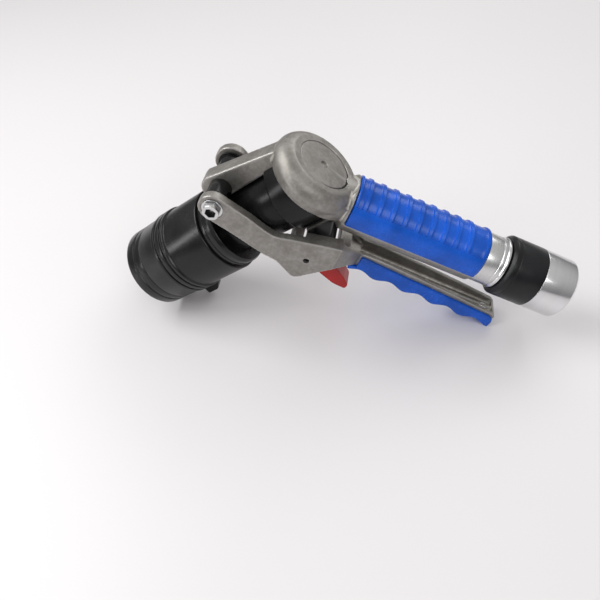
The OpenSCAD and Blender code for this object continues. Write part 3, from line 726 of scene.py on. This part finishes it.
def makeGripCover():
    g = grip
    start, end, r = g["start"], g["end"], g["r"]
    ribs = [start + g["firstRib"] + i * g["pitch"] for i in range(g["ribs"])]
    sides = [s + side * g["ribWidth"] / 2 for s in ribs for side in (-1, 1)]
    edges = [start + 1.4] + sides + [end - 2]
    pockets = list(zip(edges[0::2], edges[1::2]))
    outer = [(start, r - 0.9), (start + 0.25, r - 0.35), (start + 0.8, r)]
    for a, b in pockets:
        outer += [(a, r)] + [(a + (b - a) * k / 4, r) for k in (1, 2, 3)] + [(b, r)]
    outer += [(end - 0.8, r), (end - 0.25, r - 0.35), (end, r - 0.9)]
    section = outer + [(end, g["coreR"]), (start, g["coreR"])]
    # a saddle open below, over the casting's lower half
    turn = math.radians(g["halfArc"])
    points = [(x, math.sin(turn) * q, math.cos(turn) * q) for x, q in section]
    cover = drawLine("gripCover", points)
    bpy.ops.mesh.select_all(action="SELECT")
    bpy.ops.mesh.edge_face_add()
    bpy.ops.mesh.spin(steps=136, angle=2 * turn, center=(0, 0, 0), axis=(-1, 0, 0))
    tidyMesh()
    # the pockets: their faces are inset, then drawn in towards the axis
    bpy.ops.object.mode_set(mode="EDIT")
    bpy.ops.mesh.select_all(action="DESELECT")
    bpy.ops.mesh.select_mode(type="FACE")
    bpy.ops.object.mode_set(mode="OBJECT")
    for face in cover.data.polygons:
        x, y, z = face.center
        around = math.degrees(abs(math.atan2(y, z)))
        inPocket = any(a < x < b for a, b in pockets)
        face.select = inPocket and around < g["pocketArc"] and math.hypot(y, z) > r - 0.3
    bpy.ops.object.mode_set(mode="EDIT")
    radius = r
    for margin, depth in ((0.28, g["pocket"]), (0.45, g["middle"])):
        bpy.ops.mesh.inset(thickness=margin, use_individual=False)
        k = (r - depth) / radius
        bpy.ops.transform.resize(value=(1, k, k), center_override=(0, 0, 0))
        radius = r - depth
    bpy.ops.mesh.select_all(action="SELECT")
    bpy.ops.mesh.normals_make_consistent(inside=False)
    bpy.ops.object.mode_set(mode="OBJECT")
    finishPiece(cover, gripFrame, "nozzle_body", "blue_grip", ["grip_cover"], 50)


# ---- tube, ring, swivel sleeve and hose connector ----
hoseEnd = {"tubeR": 16.4, "ringS": 131.5, "sleeveS": 134.6, "connectorS": 158.5, "endS": 180.6,
           "outerR": 20, "spigotR": 12.06, "threadR": 15.1, "threadPitch": 2.3, "turns": 144}


def makeTubeAndRing():
    h = hoseEnd
    back = h["ringS"]
    tube = spunPiece("handleTube", rounded([
        (101, 11.95), (119.2, 11.95), (119.2, h["tubeR"] - 0.5, 0.2), (119.7, h["tubeR"], 0.2),
        (back - 3.2, h["tubeR"], 0.1), (back - 3, h["tubeR"] - 0.25, 0.1),
        (back - 2.5, h["tubeR"] - 0.25, 0.1), (back - 2.3, h["tubeR"], 0.1),
        (back, h["tubeR"], 0.2), (back, 12), (148.9, 12), (148.9, 10.8), (151.1, 10.8), (151.1, 12),
        (164, 12, 0.4), (164, 8, 0.3), (101, 8)], steps=3), h["turns"])
    finishPiece(tube, gripFrame, "nozzle_body", "machined_aluminium", ["handle_tube"])
    ring = spunPiece("retainingRing", rounded([
        (back + 0.05, 12.05), (back + 0.05, 16.3, 0.2), (back + 0.8, 17.1, 0.6),
        (back + 2.1, 17.1, 0.6), (back + 2.85, 16.3, 0.2), (back + 2.85, 12.05)]), h["turns"])
    finishPiece(ring, gripFrame, "nozzle_body", "polished_steel", ["retaining_ring"])


def makeSleeve():
    h = hoseEnd
    a, b, r = h["sleeveS"], h["connectorS"] - 0.05, h["outerR"]
    sleeve = spunPiece("swivelSleeve", rounded([
        (a, h["spigotR"]), (a, r - 1.9, 0.3), (a + 1.9, r, 0.9), (a + 4.4, r, 0.1),
        (a + 4.6, r - 0.2, 0.1), (a + 5.1, r - 0.2, 0.1), (a + 5.3, r, 0.1), (b, r, 0.35),
        (b, 16.1), (154, 16.1), (154, h["spigotR"])]), h["turns"])
    finishPiece(sleeve, gripFrame, "swivel", "black_plastic", ["swivel_sleeve"])


def makeConnector():
    h = hoseEnd
    a, b, r, t = h["connectorS"], h["endS"], h["outerR"], h["threadR"]
    thread, s = [], b - 1.6
    while s > a + 10:
        thread += [(s, t), (s - 0.9, t + 0.75), (s - 1.15, t + 0.75), (s - 2.05, t)]
        s -= h["threadPitch"]
    connector = spunPiece("hoseConnector", rounded([
        (a - 4.4, h["spigotR"]), (a - 4.4, 16, 0.2), (a, 16, 0.1), (a, r, 0.3),
        (b - 1.3, r, 0.4), (b - 0.2, r - 0.9, 0.4), (b, r - 1.3, 0.3), (b, t + 1.2, 0.3),
        (b - 0.9, t, 0.2)] + thread + [
        (a + 8.1, t), (a + 8.1, t + 0.8), (a + 6.1, t + 0.8), (a + 6.1, h["spigotR"])]),
        h["turns"])
    finishPiece(connector, gripFrame, "swivel", "polished_steel", ["hose_connector"])


makeGripCover()
makeTubeAndRing()
makeSleeve()
makeConnector()
print("grip and hose end made")

# ---- pivot bolt, nut, spacers and screws ----
fastener = {"headR": 5.8, "headT": 4, "socketR": 3.55, "socketDeep": 3.2, "seat": 0.4,
            "washerT": 0.5, "nutT": 3.4, "spacerR": 7.2, "flangeR": 8.6, "flangeT": 1.2}


def hexBlank(name, radius, thickness, holeR, holeSides, holeDepth):
    # a hexagon with its corners turned off and a hole from the top; it stands on z = 0
    deselectEverything()
    bpy.ops.mesh.primitive_cylinder_add(vertices=6, radius=radius, depth=thickness,
                                        location=(0, 0, thickness / 2))
    piece = nameAndApply(name)
    softBevel(piece, 0.22, 2, 40)
    deselectEverything()
    bpy.ops.mesh.primitive_cone_add(vertices=72, radius1=radius * 1.14, radius2=radius * 0.83,
                                    depth=thickness * 1.1, location=(0, 0, thickness * 0.62))
    cone = nameAndApply("cone")
    combine(piece, cone, "INTERSECT")
    deselectEverything()
    depth = holeDepth + 1
    bpy.ops.mesh.primitive_cylinder_add(vertices=holeSides, radius=holeR, depth=depth,
                                        location=(0, 0, thickness - holeDepth + depth / 2))
    combine(piece, nameAndApply("hole"))
    return piece


def makeBolt():
    f, half = fastener, lever["armHalf"]
    face, plate = -half - f["seat"], f["washerT"]
    head = hexBlank("pivotBolt", f["headR"], f["headT"], f["socketR"], 6, f["socketDeep"])
    turn = Matrix.Translation((pivot[0], face, pivot[1])) @ Matrix.Rotation(math.pi / 2, 4, "X")
    head.data.transform(turn)
    washer = spunPiece("washer", rounded([
        (0, 4.1), (0, 6.6, 0.15), (plate, 6.6, 0.25), (plate, 4.1)]), 64)
    washer.data.transform(Matrix.Translation((pivot[0], face + plate, pivot[1])) @
                          Matrix.Rotation(-math.pi / 2, 4, "Z"))
    shank = rodAcross("shank", pivot, boltR, face + 0.05, half + 3.2, 48)
    tip = rodAcross("tip", pivot, boltR - 0.5, half + 3, half + 3.55, 48)
    joinPieces(head, [washer, shank, tip])
    finishPiece(head, barrelFrame, "nozzle_body", "plated_steel", ["pivot_bolt"], 35)
    # painted shade: a black insert lines the hex socket so its hollow reads dark
    shadeInsert = hexBlank("socketShadeInsert", f["socketR"] - 0.02, 2.9, f["socketR"] - 0.3, 6, 2.7)
    shadeInsert.data.transform(turn @ Matrix.Translation((0, 0, f["headT"] - f["socketDeep"])))
    finishPiece(shadeInsert, barrelFrame, "nozzle_body", "black_neck", [], 35)
    nut = hexBlank("pivotNut", f["headR"], f["nutT"], boltR + 0.02, 48, f["nutT"] + 0.5)
    nut.data.transform(Matrix.Translation((pivot[0], half + f["seat"], pivot[1])) @
                       Matrix.Rotation(-math.pi / 2, 4, "X"))
    finishPiece(nut, barrelFrame, "nozzle_body", "plated_steel", ["pivot_nut"], 35)


def makeSpacers():
    f = fastener
    inner, outer = casting["spineHalf"] + 0.05, lever["armHalf"] - lever["armT"] - 0.35
    foot = outer - f["flangeT"]
    # the spacers are black; the wide flange on each also darkens the arm's recessed inner face, as painted shade
    spacer = spunPiece("boltSpacers", rounded([
        (inner, boltR + 0.02), (inner, f["spacerR"], 0.5), (foot, f["spacerR"], 0.2),
        (foot, f["flangeR"], 0.3), (outer, f["flangeR"], 0.3), (outer, boltR + 0.02)]), 72)
    spacer.data.transform(Matrix.Translation((pivot[0], 0, pivot[1])) @
                          Matrix.Rotation(math.pi / 2, 4, "Z"))
    other = copyPiece(spacer, "spacer", Matrix.Scale(-1, 4, (0, 1, 0)))
    pick(other)
    bpy.ops.object.mode_set(mode="EDIT")
    tidyMesh()
    joinPieces(spacer, [other])
    finishPiece(spacer, barrelFrame, "nozzle_body", "black_neck", ["bolt_spacers"])


def makeScrews():
    # pan heads with a cross slot, in the channel of the lever
    deselectEverything()
    bpy.ops.mesh.primitive_cylinder_add(vertices=40, radius=2.8, depth=1.9, location=(0, 0, 0.95))
    screw = nameAndApply("padScrews")
    softBevel(screw, 0.6, 4, 60)
    for quarter in (0, 1):
        deselectEverything()
        bpy.ops.mesh.primitive_cube_add(size=1, location=(0, 0, 1.9), scale=(3.4, 0.7, 1.6),
                                        rotation=(0, 0, quarter * math.pi / 2))
        combine(screw, nameAndApply("slot"))
    toBarrel = barrelFrame.inverted() @ gripFrame
    screws = []
    for i, s in enumerate(lever["screws"]):
        seat = toBarrel @ Matrix.Translation((s, 0, -floorTop(s) + 0.1))
        screws.append(copyPiece(screw, "screw", seat @ Matrix.Rotation(0.4 + i, 4, "Z")))
    bpy.data.objects.remove(screw)
    whole = joinPieces(screws[0], screws[1:])
    whole.name = whole.data.name = "padScrews"
    finishPiece(whole, barrelFrame, "lever", "plated_steel", ["pad_screws"])


makeBolt()
makeSpacers()
makeScrews()
print("fasteners made")

# ---- floor, light and camera ----
studio = {"floorSize": 30, "floorColour": (0.76, 0.74, 0.75), "horizon": (0.32, 0.32, 0.33),
          "zenith": (1.0, 0.99, 0.98), "zenithFrom": 0.7, "worldLight": 0.6}


def makeStudio():
    deselectEverything()
    bpy.ops.mesh.primitive_plane_add(size=studio["floorSize"], location=(0, 0, 0))
    floor = nameAndApply("floor")
    paint = Paint("floorPaint")
    clouds = paint.noise(3, 2, 0.5)
    pale = studio["floorColour"]
    colour = paint.ramp(clouds, [(0.3, tuple(c * 0.985 for c in pale) + (1,)), (0.7, pale + (1,))])
    floor.data.materials.append(paint.finish(Base_Color=colour, Roughness=0.42))
    world = bpy.data.worlds.new("studioLight")
    bpy.context.scene.world = world
    world.use_nodes = True
    # pale overhead and darker towards the horizon
    tree = world.node_tree
    place, split, sky = [tree.nodes.new(kind) for kind in (
        "ShaderNodeTexCoord", "ShaderNodeSeparateXYZ", "ShaderNodeValToRGB")]
    sky.color_ramp.elements[0].color = studio["horizon"] + (1,)
    sky.color_ramp.elements[1].color = studio["zenith"] + (1,)
    sky.color_ramp.elements[1].position = studio["zenithFrom"]
    tree.links.new(place.outputs["Generated"], split.inputs[0])
    tree.links.new(split.outputs["Z"], sky.inputs[0])
    tree.links.new(sky.outputs[0], tree.nodes["Background"].inputs["Color"])
    tree.nodes["Background"].inputs["Strength"].default_value = studio["worldLight"]


def softLight(name, spot, aim, size, power):
    deselectEverything()
    bpy.ops.object.light_add(type="AREA", location=spot)
    light = bpy.context.object
    light.name = name
    light.data.shape = "RECTANGLE"
    light.data.size, light.data.size_y = size
    light.data.energy = power
    light.rotation_euler = (Vector(aim) - Vector(spot)).to_track_quat("-Z", "Y").to_euler()


# the camera stands near, above and behind; its axes are given in the barrel's frame
camera = {"lens": 34.45, "spot": (167.59, -285.58, 137.93), "right": (0.7705, 0.1684, -0.6148),
          "up": (0.3220, 0.7296, 0.6033), "back": (0.5502, -0.6628, 0.5079)}


def makeCamera():
    deselectEverything()
    turn = barrelFrame.to_3x3().normalized()
    axes = [turn @ Vector(camera[key]) for key in ("right", "up", "back")]
    place = Matrix(axes).transposed().to_4x4()
    place.translation = barrelFrame @ Vector(camera["spot"])
    bpy.ops.object.camera_add()
    view = bpy.context.object
    view.name = "camera"
    view.matrix_world = place
    view.data.lens = camera["lens"]
    view.data.sensor_width = 36
    view.data.clip_start, view.data.clip_end = 0.01, 30
    bpy.context.scene.camera = view


makeStudio()
softLight("keyLight", (-0.75, 0.0, 0.95), (0, 0, 0.06), (0.8, 0.6), 7.5)
softLight("sideLight", (-0.75, -0.45, 0.4), (-0.1, 0, 0.05), (0.12, 0.6), 1.6)
softLight("fillLight", (0.5, -0.75, 0.75), (0, 0, 0.06), (0.5, 0.4), 2.2)
softLight("backLight", (0.35, 0.9, 0.8), (0, 0, 0.06), (1.0, 0.5), 3.5)
makeCamera()
bpy.context.scene.view_settings.view_transform = "Standard"
print("studio made")
